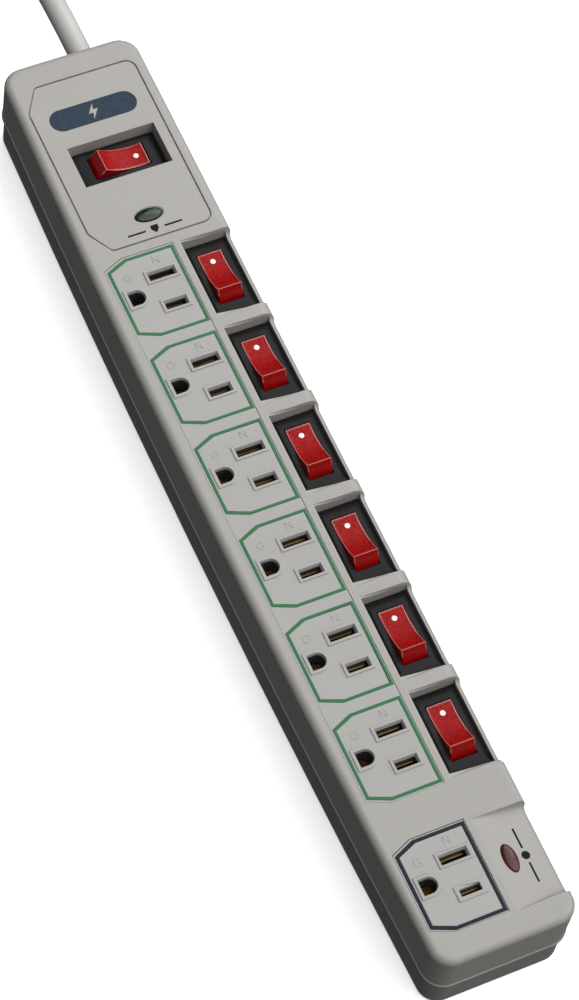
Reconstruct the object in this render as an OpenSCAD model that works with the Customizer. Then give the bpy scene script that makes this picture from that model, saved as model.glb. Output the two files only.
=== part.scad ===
// Surge-protector power strip with seven outlets, a master rocker switch across the head and
// six rocker switches in sloping bays along one side.
// X runs along the strip, away from the cord end. +Y is the switch side, +Z is up.
// The origin is under the middle of the housing, on the surface that it stands on.

/* [Housing] */
// Length of the housing
housing_l = 370; // [369:1:374]
// Greatest width of the housing
housing_w = 55.6; // [55:0.2:58]
// Height of the outlet face above the floor
housing_h = 36; // [35.5:0.5:38]
// Height of the seam between the cover and the base
seam_z = 15.3; // [14.8:0.1:15.8]
// Wall thickness of the cover and the base
wall_t = 2.4; // [2.2:0.1:2.6]
// Radius of the upright corners
corner_r = 8; // [7:0.5:9]
// Radius of the rounding round the outlet face
edge_r = 2.8; // [2:0.2:3.2]
// How far the outlet side bulges between its ends
side_bow = 3.2; // [2:0.2:3.6]
// How far the base stands in from the cover
base_inset = 1; // [0.6:0.1:1.2]

/* [Outlets] */
// Distance between neighbouring switched outlets
outlet_pitch = 37.7; // [37.6:0.05:37.8]
// Place of the first switched outlet along the strip
first_outlet_x = -79.8; // [-80.2:0.1:-79.4]
// Place of the always-on outlet along the strip
last_outlet_x = 157.2; // [157:0.1:157.4]
// Place of the line through the two blade slots
blade_y = -3.2; // [-3.4:0.1:-3]
// Distance between the two blade slots
blade_gap = 12.7; // [12.7:0.1:12.7]
// Distance from the blade line to the ground hole
ground_drop = 11.9; // [11.9:0.1:11.9]
// Height of the neutral slot
neutral_slot_l = 9.2; // [9:0.1:9.4]
// Height of the line slot
line_slot_l = 7.4; // [7.2:0.1:7.6]
// Width of both blade slots
slot_w = 2.5; // [2.4:0.1:2.6]
// Width of the ground hole
ground_hole_w = 5.2; // [5.1:0.1:5.4]
// Width of the coloured line round an outlet
frame_line = 1.1; // [0.9:0.1:1.2]

/* [Switches] */
// Angle of the sloping switch bays
bay_slope = 12.5; // [12:0.5:13]
// Length of a side switch's bezel
bezel_l = 31; // [30.6:0.2:31.2]
// Length of the master switch's bezel
master_bezel_l = 33; // [32.6:0.2:33.2]
// Width of every bezel
bezel_w = 17.2; // [17:0.1:17.3]
// Angle of a rocker to either side of level
rocker_tilt = 13; // [12:0.5:13]
// Width of a rocker
rocker_w = 9.05; // [8.9:0.05:9.1]
// Radius of a rocker's pivot pins
pivot_r = 1.2; // [1.1:0.1:1.3]

/* [Cord] */
// Diameter of the cord
cord_d = 8.8; // [8.6:0.1:9]
// Place of the cord across the strip
cord_y = 13.1; // [13:0.1:13.2]
// Length of the straight runs of the hank
hank_run = 80; // [80:1:80]
// Radius of the hank's inner turns
hank_r = 36; // [36:1:36]

/* [Hidden] */
fine = 48;
eps = 0.01;
fit_gap = 0.15;

half_l = housing_l / 2;
half_w = housing_w / 2;
switched_outlets = 6;
outlet_xs = [for (i = [0 : switched_outlets - 1]) first_outlet_x + i * outlet_pitch];
all_outlet_xs = concat(outlet_xs, [last_outlet_x]);
ground_y = blade_y - ground_drop;
roof_z = housing_h - wall_t;
floor_z = wall_t;
lip_h = 2;
lip_t = 1.2;

// The insert that carries the six switched outlets, and the always-on one
insert_y0 = -21.7;
insert_y1 = 5.3;
insert_left = 16.9;
insert_right = 17.5;
insert_cut_x = 3.2;
insert_cut_y = 7.6;
insert_t = 3;
insert_lip = 1.6;
insert_ledge = 1.4;
face_drop = 0.2;
frame_x0 = 16.3;
frame_x1 = 17;
frame_y0 = -21.1;
frame_y1 = 5;
frame_depth = 0.6;
frame_proud = 0.1;
surround_h = 0.45;
surround_w = 1.5;
chimney_h = 5;
chimney_wall = 1.4;

// The switch bays and the switches
bay_y = 7.4;
bay_left = 16.5;
bay_right = 17.2;
last_bay_left = 16;
last_bay_right = 18.7;
switch_shift = -0.2;
switch_y = 16.8;
switch_xs = [for (x = outlet_xs) x + switch_shift];
master_x = -137;
master_y = 2.6;
pivot_z = housing_h - 7.8;
bezel_under = 1.2;
bezel_edge = 2.2;
bezel_top = 3.7;
bezel_bevel_l = 2.7;
bezel_bevel_w = 2.1;
case_l = 25;
case_w = 13.4;
case_depth = 12.6;
case_wall = 1.2;
slot_half_l = 10.7;
slot_half_w = 4.7;
well_wall = 1.6;
lever_z = -9;
lever_tilt = 7.8;
lever_l = 17;
lever_w = 4;
lever_t = 0.8;
axle_r = 0.7;
pin_gap = 0.05;
rocker_ridge = [8.8, 6.5];
rocker_foot = [9.75, 3.85];
rocker_end_r = 10.48;
rocker_hem_angle = -15;
rocker_dip = 1.9;
stem_r = 2.2;
stem_z = -6;
plunger_r = 1;
plunger_z = -7.8;

// The inside: contacts, buses and the circuit board
clip_l = 9;
clip_w = 3.2;
clip_gap = 1.4;
clip_z0 = 19.5;
clip_z1 = 32;
metal_t = 0.8;
ground_clip_r = 3.1;
ground_clip_hole = 2.4;
ground_clip_z1 = 27.5;
neutral_strip_y = [-11, -8.4];
ground_strip_y = [-21, -18];
tray_z = 17.5;
terminal_w = 4.8;
terminal_h = 9.2;
terminal_offset = 7;
load_terminal_h = 5;
line_bus_z = [6.6, 10];
contact_drop_y = 8.3;

green_lens = [-110.3, 2.2];
green_lens_size = [5.2, 10.4];
red_lens = [158, 14];
red_lens_size = [10.5, 5];
lens_gap = 0.1;

cord_z = seam_z;
cord_r = cord_d / 2;
exit_r = cord_r + 0.05;
bosses = [[-176, 21.5], [-176, -14], [-23.1, 21.8], [52.3, 21.8], [179, 16], [179, -11]];
boss_r = 3;
screw_r = 1.4;
screw_head_r = 2.7;
screw_head_h = 1.8;
keyholes = [-114, 114];
keyhole_r = 4.2;
keyhole_slot_r = 2.2;
keyhole_run = 9;
keyhole_depth = 4.6;

// ---- Outlines ----

function arc(c, r, a0, a1, n) =
    [for (i = [0 : n]) [c[0] + r * cos(a0 + (a1 - a0) * i / n), c[1] + r * sin(a0 + (a1 - a0) * i / n)]];

function side_y(x, inset) = -half_w + inset + side_bow * pow(x / half_l, 2);

// The housing's plan, drawn in by an inset: straight on the switch side, bowed on the other
function plan(inset) = let (
    r = max(corner_r - inset, 1),
    x = half_l - inset - r,
    y1 = half_w - inset - r,
    y0 = side_y(x, inset) + r,
    steps = 14
) concat(
    arc([x, y1], r, 0, 90, 7),
    arc([-x, y1], r, 90, 180, 7),
    arc([-x, y0], r, 180, 270, 7),
    [for (i = [1 : steps - 1]) let (u = -x + 2 * x * i / steps) [u, side_y(u, inset)]],
    arc([x, y0], r, 270, 360, 7)
);

// A rectangle whose two corners at low Y are cut off slantwise
function cut_box(x0, x1, y0, y1, cx, cy) =
    [[x0, y1], [x0, y0 + cy], [x0 + cx, y0], [x1 - cx, y0], [x1, y0 + cy], [x1, y1]];

function oval(size, grow) =
    [for (a = [0 : 15 : 345]) [(size[0] / 2 + grow) * cos(a), (size[1] / 2 + grow) * sin(a)]];

module prism(points, z0, z1) {
    translate([0, 0, z0]) linear_extrude(height = z1 - z0) polygon(points);
}

// A profile in X and Z, drawn out along Y about the middle
module across(points, width) {
    translate([0, width / 2, 0]) rotate([90, 0, 0]) linear_extrude(height = width) polygon(points);
}

// A profile in Y and Z, drawn out along X from x0 to x1
module along(points, x0, x1) {
    translate([x0, 0, 0]) rotate([90, 0, 90]) linear_extrude(height = x1 - x0) polygon(points);
}

module block(low, high) {
    translate(low) cube(high - low);
}

// ---- Cover ----

module cover_shell() {
    hull() {
        prism(plan(0), seam_z, housing_h - edge_r);
        for (a = [22.5, 45, 67.5, 90])
            prism(plan(edge_r * (1 - cos(a))),
                  housing_h - edge_r * (1 - sin(a)) - eps, housing_h - edge_r * (1 - sin(a)));
    }
}

function bay_z(y) = housing_h - (y - bay_y) * tan(bay_slope);

// Everything above a bay's sloping deck, or above its underside when dropped by the wall
module bay(x0, x1, drop) {
    far = half_w + 2;
    along([[bay_y - drop, housing_h - drop], [far, bay_z(far) - drop],
           [far, housing_h + 1], [bay_y - drop, housing_h + 1]], x0, x1);
}

module all_bays(drop) {
    for (x = outlet_xs) bay(x - bay_left - drop, x + bay_right + drop, drop);
    bay(last_outlet_x - last_bay_left - drop, last_outlet_x + last_bay_right + drop, drop);
}

module at_switch(i) {
    translate([switch_xs[i], switch_y, pivot_z]) children();
}

module at_master() {
    translate([master_x, master_y, pivot_z]) rotate([0, 0, -90]) children();
}

module every_switch() {
    for (i = [0 : switched_outlets - 1]) at_switch(i) children();
}

module well(length) {
    block([-length / 2 - well_wall, -bezel_w / 2 - well_wall, bezel_under - well_wall],
          [length / 2 + well_wall, bezel_w / 2 + well_wall, housing_h - pivot_z - eps]);
}

module pocket(length) {
    block([-length / 2 - fit_gap, -bezel_w / 2 - fit_gap, bezel_under],
          [length / 2 + fit_gap, bezel_w / 2 + fit_gap, housing_h - pivot_z + 1]);
    block([-case_l / 2 - fit_gap, -case_w / 2 - fit_gap, bezel_under - well_wall - 1],
          [case_l / 2 + fit_gap, case_w / 2 + fit_gap, bezel_under + 1]);
}

function panel_outline(inset) = cut_box(
    outlet_xs[0] - insert_left + inset, outlet_xs[switched_outlets - 1] + insert_right - inset,
    insert_y0 + inset, insert_y1 - inset, insert_cut_x, insert_cut_y);

function last_outline(inset) = cut_box(
    last_outlet_x - insert_left + inset, last_outlet_x + insert_right - inset,
    insert_y0 + inset, insert_y1 - inset, insert_cut_x, insert_cut_y);

module insert_opening(points, inner_points) {
    prism(points, housing_h - insert_lip, housing_h + 1);
    prism(inner_points, roof_z - insert_t, housing_h);
}

head_x0 = -174.3;
head_x1 = -100.3;
head_y0 = -21.5;
head_y1 = 23.4;
groove_w = 0.5;
groove_depth = 0.45;

// The groove round the head panel: rounded at the switch side, cut slantwise at the other
function head_outline(inset) = concat(
    arc([head_x1 - 4, head_y1 - 4], 4 - inset, 0, 90, 6),
    arc([head_x0 + 4, head_y1 - 4], 4 - inset, 90, 180, 6),
    [[head_x0 + inset, head_y0 + 7.2], [head_x0 + 10.5, head_y0 + inset],
     [head_x1 - 9.5, head_y0 + inset], [head_x1 - inset, head_y0 + 6.4]]
);

module head_groove() {
    difference() {
        prism(head_outline(0), housing_h - groove_depth, housing_h + 1);
        prism(head_outline(groove_w), housing_h - groove_depth - 1, housing_h + 2);
    }
}

module cord_passage(r) {
    translate([-half_l - 1, cord_y, cord_z]) rotate([0, 90, 0])
        cylinder(r = r, h = wall_t + 3, $fn = fine);
}

module top_cover() {
    color([0.69, 0.68, 0.66]) difference() {
        union() {
            difference() {
                cover_shell();
                difference() {
                    prism(plan(wall_t + base_inset / 2), seam_z - 1, roof_z);
                    all_bays(wall_t);
                }
            }
            every_switch() well(bezel_l);
            at_master() well(master_bezel_l);
            for (b = bosses) translate([b[0], b[1], seam_z + lip_h])
                cylinder(r = boss_r, h = roof_z - seam_z - lip_h - 4, $fn = fine);
            for (b = [bosses[0], bosses[1], bosses[4], bosses[5]])
                translate([b[0], b[1], roof_z - 5]) cylinder(r = boss_r, h = 6, $fn = fine);
        }
        all_bays(0);
        every_switch() pocket(bezel_l);
        at_master() pocket(master_bezel_l);
        insert_opening(panel_outline(-fit_gap), panel_outline(insert_ledge));
        insert_opening(last_outline(-fit_gap), last_outline(insert_ledge));
        translate([green_lens[0], green_lens[1], 0])
            prism(oval(green_lens_size, lens_gap), roof_z - 1, housing_h + 1);
        translate([red_lens[0], red_lens[1], 0])
            prism(oval(red_lens_size, lens_gap), roof_z - 8, housing_h + 1);
        head_groove();
        cord_passage(exit_r);
        for (b = bosses) translate([b[0], b[1], seam_z])
            cylinder(r = screw_r - 0.1, h = 10, $fn = fine);
    }
}

// ---- Base ----

// A mounting keyhole: a round entry in the middle of a slot with round ends
module keyhole(r, slot_r, z0, z1) {
    translate([0, 0, z0]) cylinder(r = r, h = z1 - z0, $fn = fine);
    block([-keyhole_run, -slot_r, z0], [keyhole_run, slot_r, z1]);
    for (s = [-1, 1]) translate([s * keyhole_run, 0, z0]) cylinder(r = slot_r, h = z1 - z0, $fn = fine);
}

module base_shell() {
    bottom_cut = 1.4;
    color([0.60, 0.59, 0.58]) difference() {
        union() {
            difference() {
                hull() {
                    prism(plan(base_inset + bottom_cut), 0, eps);
                    prism(plan(base_inset), bottom_cut, seam_z);
                }
                prism(plan(base_inset + wall_t), floor_z, seam_z + 1);
            }
            difference() {
                prism(plan(wall_t + base_inset / 2 + fit_gap), seam_z - 3, seam_z + lip_h);
                prism(plan(wall_t + base_inset / 2 + fit_gap + lip_t), seam_z - 4, seam_z + lip_h + 1);
            }
            intersection() {
                for (b = bosses) translate([b[0], b[1], floor_z - 1])
                    cylinder(r = boss_r + 0.6, h = seam_z + lip_h - floor_z + 1 - fit_gap, $fn = fine);
                prism(plan(wall_t + base_inset / 2 + fit_gap), 0, seam_z + lip_h);
            }
            for (x = keyholes) translate([x, 0, 0])
                block([-keyhole_run - keyhole_r - 1.6, -keyhole_r - 1.6, floor_z - 1],
                      [keyhole_run + keyhole_r + 1.6, keyhole_r + 1.6, floor_z + keyhole_depth]);
        }
        for (x = keyholes) translate([x, 0, 0]) {
            keyhole(keyhole_r, keyhole_slot_r, -1, floor_z + 1);
            keyhole(keyhole_r, keyhole_r, floor_z, floor_z + keyhole_depth - 1.4);
        }
        for (b = bosses) {
            translate([b[0], b[1], -1])
                cylinder(r = screw_head_r + 0.2, h = screw_head_h + 1.6, $fn = fine);
            translate([b[0], b[1], -1]) cylinder(r = screw_r + 0.2, h = seam_z + 6, $fn = fine);
        }
        cord_passage(exit_r);
        prism([[-60, -15], [60, -15], [60, 15], [-60, 15]], -1, 0.3);
    }
}

// ---- Outlets ----

// A ground hole: flat towards low Y, round towards the blades
module ground_hole(grow, z0, z1) {
    r = ground_hole_w / 2 + grow;
    translate([0, 0, z0]) cylinder(r = r, h = z1 - z0, $fn = fine);
    block([-r, -r, z0], [r, 0, z1]);
}

module outlet_holes() {
    z0 = roof_z - insert_t;
    z1 = housing_h + 1;
    translate([-blade_gap / 2, blade_y, 0])
        block([-slot_w / 2, -neutral_slot_l / 2, z0], [slot_w / 2, neutral_slot_l / 2, z1]);
    translate([blade_gap / 2, blade_y, 0])
        block([-slot_w / 2, -line_slot_l / 2, z0], [slot_w / 2, line_slot_l / 2, z1]);
    translate([0, ground_y, 0]) ground_hole(0, z0 - chimney_h, z1);
}

module outlet_surrounds() {
    z0 = housing_h - face_drop - 0.5;
    z1 = housing_h - face_drop + surround_h;
    n = neutral_slot_l / 2 + surround_w;
    l = line_slot_l / 2 + surround_w;
    w = slot_w / 2 + surround_w;
    translate([-blade_gap / 2, blade_y, 0]) block([-w, -n, z0], [w, n, z1]);
    translate([blade_gap / 2, blade_y, 0]) block([-w, -l, z0], [w, l, z1]);
    translate([0, ground_y, 0]) ground_hole(surround_w, z0, z1);
    translate([0, ground_y, 0])
        ground_hole(chimney_wall, housing_h - insert_t - chimney_h + 0.5, housing_h - 1);
}

function frame_outline(inset) = cut_box(
    -frame_x0 + inset, frame_x1 - inset, frame_y0 + inset, frame_y1 - inset,
    insert_cut_x - inset * 0.3, insert_cut_y - inset * 0.3);

module frame_line(grow, z0, z1) {
    difference() {
        prism(frame_outline(-grow), z0, z1);
        prism(frame_outline(frame_line + grow), z0 - 1, z1 + 1);
    }
}

module insert(outline_points, body_points, xs) {
    top = housing_h - face_drop;
    difference() {
        union() {
            prism(outline_points, housing_h - insert_lip + eps, top);
            prism(body_points, housing_h - insert_t, housing_h - insert_lip + 2 * eps);
            for (x = xs) translate([x, 0, 0]) outlet_surrounds();
        }
        for (x = xs) translate([x, 0, 0]) {
            outlet_holes();
            frame_line(0.02, top - frame_depth, top + 0.2);
        }
    }
}

module outlet_panel() {
    color([0.69, 0.68, 0.66])
        insert(panel_outline(0), panel_outline(insert_ledge + fit_gap), outlet_xs);
}

module always_on_outlet() {
    color([0.68, 0.67, 0.65])
        insert(last_outline(0), last_outline(insert_ledge + fit_gap), [last_outlet_x]);
}

module outlet_frame() {
    top = housing_h - face_drop;
    frame_line(0, top - frame_depth + eps, top + frame_proud);
}

module switched_frames() {
    color([0.10, 0.49, 0.28]) for (x = outlet_xs) translate([x, 0, 0]) outlet_frame();
}

module always_on_frame() {
    color([0.20, 0.24, 0.29]) translate([last_outlet_x, 0, 0]) outlet_frame();
}

// ---- Lights ----

// An oval lens with a flange behind the cover
module lens(size, top) {
    prism(oval(size, 0), top - wall_t - 1.2, top + 0.4);
    prism(oval(size, 1.2), top - wall_t - 2.4, top - wall_t - 1.2);
}

module protected_lens() {
    color([0.05, 0.20, 0.15])
        translate([green_lens[0], green_lens[1], 0]) lens(green_lens_size, housing_h);
}

module always_on_lens() {
    color([0.45, 0.20, 0.18])
        translate([red_lens[0], red_lens[1], 0]) lens(red_lens_size, bay_z(red_lens[1]));
}

// A small lamp on two legs
module lamp(top) {
    translate([0, 0, top - 6]) cylinder(r = 1.5, h = 4.5, $fn = fine);
    translate([0, 0, top - 1.5]) sphere(r = 1.5, $fn = fine);
    translate([0, 0, top - 7]) cylinder(r = 1.9, h = 1, $fn = fine);
    for (s = [-1.27, 1.27]) translate([s, 0, top - 13]) cylinder(r = 0.3, h = 6.1, $fn = fine);
}

module protected_led() {
    color([0.7, 0.9, 0.7]) translate([green_lens[0], green_lens[1], 0]) lamp(roof_z - 3);
}

module always_on_led() {
    color([0.9, 0.6, 0.5])
        translate([red_lens[0], red_lens[1], 0]) lamp(bay_z(red_lens[1]) - wall_t - 3);
}

// ---- Contacts and buses ----

module blade_clip(length) {
    difference() {
        block([-clip_w / 2, -length / 2, clip_z0], [clip_w / 2, length / 2, clip_z1]);
        block([-clip_gap / 2, -length / 2 - 1, clip_z0 + metal_t],
              [clip_gap / 2, length / 2 + 1, clip_z1 + 1]);
    }
}

module neutral_bus() {
    color([0.80, 0.62, 0.30]) union() {
        block([all_outlet_xs[0] - 24, neutral_strip_y[0], clip_z0],
              [last_outlet_x, neutral_strip_y[1], clip_z0 + metal_t]);
        for (x = all_outlet_xs) translate([x - blade_gap / 2, 0, 0]) {
            translate([0, blade_y, 0]) blade_clip(clip_l);
            block([-clip_w / 2, neutral_strip_y[1] - 1, clip_z0],
                  [clip_w / 2, blade_y - clip_l / 2 + 1, clip_z0 + metal_t]);
        }
    }
}

module ground_bus() {
    color([0.78, 0.60, 0.28]) union() {
        block([all_outlet_xs[0] - 24, ground_strip_y[0], clip_z0],
              [last_outlet_x + 2, ground_strip_y[1], clip_z0 + metal_t]);
        for (x = all_outlet_xs) translate([x, ground_y, 0]) difference() {
            union() {
                translate([0, 0, clip_z0])
                    cylinder(r = ground_clip_r, h = ground_clip_z1 - clip_z0, $fn = fine);
                block([-2, ground_strip_y[1] - 1 - ground_y, clip_z0], [2, 0, clip_z0 + metal_t]);
            }
            translate([0, 0, clip_z0 + metal_t])
                cylinder(r = ground_clip_hole, h = 20, $fn = fine);
            block([-0.6, 0, clip_z0 + metal_t], [0.6, 5, ground_clip_z1 + 1]);
        }
    }
}

// The line clip of one outlet, with the strip that steps down to its switch
module line_contact(foot_z, foot_y) {
    y0 = blade_y + line_slot_l / 2;
    translate([0, blade_y, 0]) blade_clip(line_slot_l);
    block([-clip_w / 2, y0 - 1, clip_z0], [clip_w / 2, contact_drop_y + metal_t, clip_z0 + metal_t]);
    block([-clip_w / 2, contact_drop_y, foot_z], [clip_w / 2, contact_drop_y + metal_t, clip_z0 + metal_t]);
    block([-clip_w / 2, contact_drop_y, foot_z], [clip_w / 2, foot_y, foot_z + metal_t]);
}

module switched_contacts() {
    color([0.80, 0.62, 0.30]) for (x = outlet_xs) translate([x + blade_gap / 2, 0, 0])
        line_contact(pivot_z - case_depth - load_terminal_h + 0.2, switch_y - metal_t / 2);
}

module always_on_contact() {
    color([0.80, 0.62, 0.30]) translate([last_outlet_x + blade_gap / 2, 0, 0])
        line_contact(line_bus_z[0] + 1, switch_y + metal_t / 2);
}

module line_bus() {
    color([0.76, 0.50, 0.32]) block(
        [switch_xs[0] - terminal_offset - 14, switch_y + metal_t / 2, line_bus_z[0]],
        [last_outlet_x + blade_gap / 2 + 2, switch_y + 1.5 * metal_t, line_bus_z[1]]);
}

// The two terminals of a switch: the first is fed, the second goes to the outlets
module terminals(fed_h, load_h) {
    block([-terminal_offset - terminal_w / 2, -metal_t / 2, -case_depth - fed_h],
          [-terminal_offset + terminal_w / 2, metal_t / 2, -case_depth]);
    block([terminal_offset - terminal_w / 2, -metal_t / 2, -case_depth - load_h],
          [terminal_offset + terminal_w / 2, metal_t / 2, -case_depth]);
}

module switch_terminals() {
    color([0.80, 0.78, 0.72]) {
        every_switch() terminals(terminal_h, load_terminal_h);
        at_master() terminals(load_terminal_h, load_terminal_h);
    }
}

module contact_tray() {
    tray_x = [all_outlet_xs[0] - 20, last_outlet_x + 16];
    color([0.25, 0.25, 0.26]) union() {
        block([tray_x[0], insert_y0 + 0.5, tray_z], [tray_x[1], 3, clip_z0]);
        for (x = concat([for (i = [0 : 4]) outlet_xs[i] + outlet_pitch / 2], [tray_x[0] + 4, tray_x[1] - 2]))
            for (y = [-19, -1.5]) block([x - 1.5, y - 1.5, floor_z], [x + 1.5, y + 1.5, tray_z + 0.5]);
    }
}

// ---- Circuit board and wiring ----

board_z = 8;
board_t = 1.6;
board_x = [-170, -128];
board_y = [-20, 1.6];

module circuit_board() {
    color([0.12, 0.34, 0.20]) difference() {
        union() {
            block([board_x[0], board_y[0], board_z], [board_x[1], board_y[1], board_z + board_t]);
            for (x = [board_x[0] + 4, board_x[1] - 4]) for (y = [board_y[0] + 3, board_y[1] - 3])
                translate([x, y, floor_z]) cylinder(r = 2, h = board_z - floor_z + 0.2, $fn = fine);
        }
        for (x = [board_x[0] + 4, board_x[1] - 4]) for (y = [board_y[0] + 3, board_y[1] - 3])
            translate([x, y, board_z - 2]) cylinder(r = 0.9, h = 6, $fn = fine);
    }
}

module varistors() {
    disc_r = 5;
    disc_t = 4;
    lead_r = 0.4;
    lead_gap = 2.5;
    color([0.16, 0.30, 0.55]) for (i = [0 : 2])
        translate([board_x[0] + 8 + i * 7, board_y[0] + 12, board_z + board_t + disc_r + 1])
            rotate([0, 90, 0]) {
                cylinder(r = disc_r, h = disc_t, $fn = fine);
                for (s = [-1, 1])
                    translate([disc_t, s * lead_gap, 2]) rotate([0, 90, 0])
                        cylinder(r = lead_r, h = 2, $fn = fine);
            }
}

module thermal_fuse() {
    color([0.75, 0.75, 0.72]) translate([board_x[1] - 3.6, board_y[0] + 6, board_z + board_t + 2.5])
        rotate([-90, 0, 0]) {
            cylinder(r = 1.8, h = 9, $fn = fine);
            translate([0, 0, -3]) cylinder(r = 0.4, h = 15, $fn = fine);
        }
}

// A round tube swept through a list of points: a ring of corners at each point, joined by sides
function unit(v) = v / norm(v);
function way(points, i) = unit(
    points[min(i + 1, len(points) - 1)] - points[max(i - 1, 0)]);
function ring(points, i, r, n) = let (
    t = way(points, i), side = unit(cross([0, 0.02, 1], t)), up = cross(t, side)
) [for (k = [0 : n - 1]) let (a = 360 * (k + 0.5) / n)
    points[i] + r * (cos(a) * side + sin(a) * up)];

module swept(points, r, n) {
    rings = [for (i = [0 : len(points) - 1]) each ring(points, i, r, n)];
    last = (len(points) - 1) * n;
    sides = [for (i = [0 : len(points) - 2]) for (k = [0 : n - 1])
        [i * n + k, i * n + (k + 1) % n, (i + 1) * n + (k + 1) % n, (i + 1) * n + k]];
    polyhedron(
        points = rings,
        faces = concat([[for (k = [n - 1 : -1 : 0]) k]], sides, [[for (k = [0 : n - 1]) last + k]])
    );
}

wire_r = 1.1;
clamp_x = -168;
clamp_l = 12;
wire_start_x = clamp_x + clamp_l + 1.2;

wire_sides = 8;

module line_wire() {
    color([0.10, 0.10, 0.11]) swept([
        [wire_start_x, 15.1, 17], [-151.4, 15.1, 16], [-148.4, 14.4, 14.2], [-145, 12.9, 12.8],
        [-141.5, 11.2, 12.2], [-138.6, 9.9, 12]], wire_r, wire_sides);
}

module neutral_wire() {
    color([0.90, 0.90, 0.88]) swept([
        [wire_start_x, 10.7, 17.4], [-152.4, 9.6, 18.2], [-149.4, 6.6, 20], [-147.2, 1, 22.4],
        [-147, -5, 23.2], [-146.4, -10.4, 23.2], [-143, -13, 23], [-136, -13.4, 22.8],
        [-125, -12, 22], [-113, -9.9, 21.5], [-101, -9.7, 21.3]], wire_r, wire_sides);
}

module ground_wire() {
    color([0.15, 0.45, 0.22]) swept([
        [wire_start_x, 12.7, 13.4], [-153, 12.2, 13.8], [-152.3, 9.3, 15.3], [-152.2, 4.8, 18.9],
        [-151.6, 0, 22.2], [-151.4, -6, 23.2], [-150.4, -13, 22.6], [-147, -18, 21.8],
        [-140, -19.8, 21.4], [-125, -19.6, 21.4], [-101, -19.5, 21.3]], wire_r, wire_sides);
}

module cord_clamp() {
    color([0.22, 0.22, 0.23]) difference() {
        block([clamp_x, cord_y - 11, floor_z], [clamp_x + clamp_l, cord_y + 9, cord_z + cord_r + 2]);
        translate([clamp_x - 1, cord_y, cord_z]) rotate([0, 90, 0])
            cylinder(r = cord_r, h = clamp_l + 2, $fn = fine);
        for (y = [-8.4, 6.6]) translate([clamp_x + clamp_l / 2, cord_y + y, cord_z - 4])
            cylinder(r = 1, h = 20, $fn = fine);
    }
}

module screw(r, head_r, head_h, length) {
    cylinder(r = head_r, h = head_h, $fn = fine);
    translate([0, 0, head_h - eps]) cylinder(r = r, h = length, $fn = fine);
}

// Two screws that draw the clamp down on the cord
module clamp_screws() {
    color([0.66, 0.66, 0.68]) for (y = [-8.4, 6.6])
        translate([clamp_x + clamp_l / 2, cord_y + y, cord_z + cord_r + 4]) rotate([180, 0, 0])
            screw(1, 2, 2, 8);
}

module housing_screws() {
    color([0.62, 0.62, 0.64]) for (b = bosses) translate([b[0], b[1], 0.6]) difference() {
        screw(screw_r - 0.1, screw_head_r, screw_head_h, 20);
        for (a = [0, 90]) rotate([0, 0, a]) block([-1.6, -0.35, -1], [1.6, 0.35, 0.9]);
    }
}

module rating_label() {
    color([0.85, 0.85, 0.84]) prism([[-59, -14], [59, -14], [59, 14], [-59, 14]], 0.1, 0.3);
}

// ---- Switches ----

// A bezel's bevelled section, half as long as reach at the foot
function bezel_section(reach, bevel) = [
    [-reach, bezel_under], [reach, bezel_under], [reach, bezel_edge],
    [reach - bevel, bezel_top], [-reach + bevel, bezel_top], [-reach, bezel_edge]
];

// The black bezel and case of a rocker switch; the pivot is at the origin, the dot end at low X
module switch_case(length) {
    l = length / 2;
    w = bezel_w / 2;
    color([0.13, 0.12, 0.13]) difference() {
        union() {
            intersection() {
                across(bezel_section(l, bezel_bevel_l), bezel_w);
                along(bezel_section(w, bezel_bevel_w), -l, l);
            }
            block([-case_l / 2, -case_w / 2, -case_depth],
                  [case_l / 2, case_w / 2, bezel_under + eps]);
        }
        block([-slot_half_l, -slot_half_w, -case_depth + case_wall],
              [slot_half_l, slot_half_w, bezel_top + 1]);
        rotate([90, 0, 0])
            cylinder(r = pivot_r + pin_gap, h = 2 * (slot_half_w + 1.2), center = true, $fn = fine);
        translate([0, 0, lever_z]) rotate([90, 0, 0])
            cylinder(r = axle_r + pin_gap, h = 2 * (slot_half_w + 1), center = true, $fn = fine);
    }
}

// A rocker in its level position: hollow-topped between two ridges, with pins, stem and plunger
module rocker_level() {
    foot_a = atan2(rocker_foot[1], rocker_foot[0]);
    half = rocker_ridge[0];
    dip_r = (half * half + rocker_dip * rocker_dip) / (2 * rocker_dip);
    dip_a = asin(half / dip_r);
    dip_c = [0, rocker_ridge[1] - rocker_dip + dip_r];
    right = concat([rocker_ridge], arc([0, 0], rocker_end_r, foot_a, rocker_hem_angle, 6), [[4, -3.6]]);
    left = [for (i = [len(right) - 1 : -1 : 0]) [-right[i][0], right[i][1]]];
    top = arc(dip_c, dip_r, 270 - dip_a, 270 + dip_a, 12);
    across(concat(right, left, [for (i = [1 : len(top) - 2]) top[i]]), rocker_w);
    rotate([90, 0, 0]) cylinder(r = pivot_r, h = 2 * (slot_half_w + 1), center = true, $fn = fine);
    translate([0, 0, stem_z]) cylinder(r = stem_r, h = 4, $fn = fine);
    translate([0, 0, plunger_z + plunger_r]) sphere(r = plunger_r, $fn = fine);
    translate([0, 0, plunger_z + plunger_r]) cylinder(r = plunger_r, h = 2, $fn = fine);
}

module rocker() {
    color([0.75, 0.08, 0.09]) rotate([0, -rocker_tilt, 0]) rocker_level();
}

// The see-saw contact lever under a rocker, pressed down at high X
module lever() {
    color([0.78, 0.55, 0.33]) translate([0, 0, lever_z]) rotate([0, lever_tilt, 0]) {
        block([-lever_l / 2, -lever_w / 2, -lever_t / 2], [lever_l / 2, lever_w / 2, lever_t / 2]);
        rotate([90, 0, 0]) cylinder(r = axle_r, h = 2 * (slot_half_w + 0.8), center = true, $fn = fine);
        for (s = [-1, 1]) translate([s * (lever_l / 2 - 1.6), 0, -lever_t])
            cylinder(r = 1.2, h = lever_t, $fn = fine);
    }
}

// ---- Cord ----

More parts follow.
